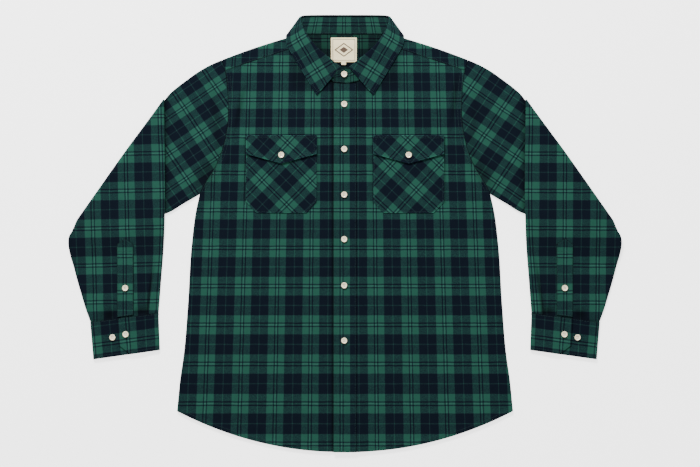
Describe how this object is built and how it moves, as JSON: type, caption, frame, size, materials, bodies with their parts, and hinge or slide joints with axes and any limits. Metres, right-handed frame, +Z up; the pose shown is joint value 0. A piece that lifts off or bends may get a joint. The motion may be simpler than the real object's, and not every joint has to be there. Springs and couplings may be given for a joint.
{
  "type": "long-sleeved flannel shirt laid flat",
  "caption": "Long-sleeved button-front flannel shirt in a green and navy check, laid flat with its sleeves folded at the elbow; turned-down collar, flapped chest pockets, buttoned cuffs.",
  "frame": {"origin": "middle of the laid shirt's outline, on the plane that its back rests on", "axes": "+Z up from the resting plane, out of the shirt's front; +Y towards the collar; +X towards the wearer's left, on the right as seen from above"},
  "size_m": [1.0776, 0.8524, 0.0141],
  "materials": {
    "body_flannel": "brushed twill flannel, green and navy check along the grain, matt",
    "sleeve_flannel": "the same brushed flannel along the sleeve's own grain, matt",
    "bias_flannel": "the same brushed flannel cut on the bias, matt",
    "collar_flannel": "the same brushed flannel, interlined, matt",
    "cuff_flannel": "the same brushed flannel, interlined, matt",
    "label_cloth": "woven tape, cream, low sheen",
    "buttons": "cream, polished"
  },
  "bodies": {
    "root": {"back": "body_flannel", "button_cuff_left_1": "buttons", "button_cuff_left_2": "buttons", "button_cuff_right_1": "buttons", "button_cuff_right_2": "buttons", "button_front_1": "buttons", "button_front_2": "buttons", "button_front_3": "buttons", "button_front_4": "buttons", "button_front_5": "buttons", "button_front_6": "buttons", "button_front_7": "buttons", "button_pocket_left": "buttons", "button_pocket_right": "buttons", "button_sleeve_left": "buttons", "button_sleeve_right": "buttons", "collar_leaf": "collar_flannel", "collar_stand": "collar_flannel", "cuff_left": "cuff_flannel", "cuff_right": "cuff_flannel", "front_left": "body_flannel", "front_right": "body_flannel", "label": "label_cloth", "placket": "body_flannel", "pocket_flap_left": "bias_flannel", "pocket_flap_right": "bias_flannel", "pocket_left": "bias_flannel", "pocket_right": "bias_flannel", "size_tab": "label_cloth", "sleeve_left": "sleeve_flannel", "sleeve_placket_left": "sleeve_flannel", "sleeve_placket_right": "sleeve_flannel", "sleeve_right": "sleeve_flannel", "yoke": "body_flannel"}
  },
  "joints": []
}
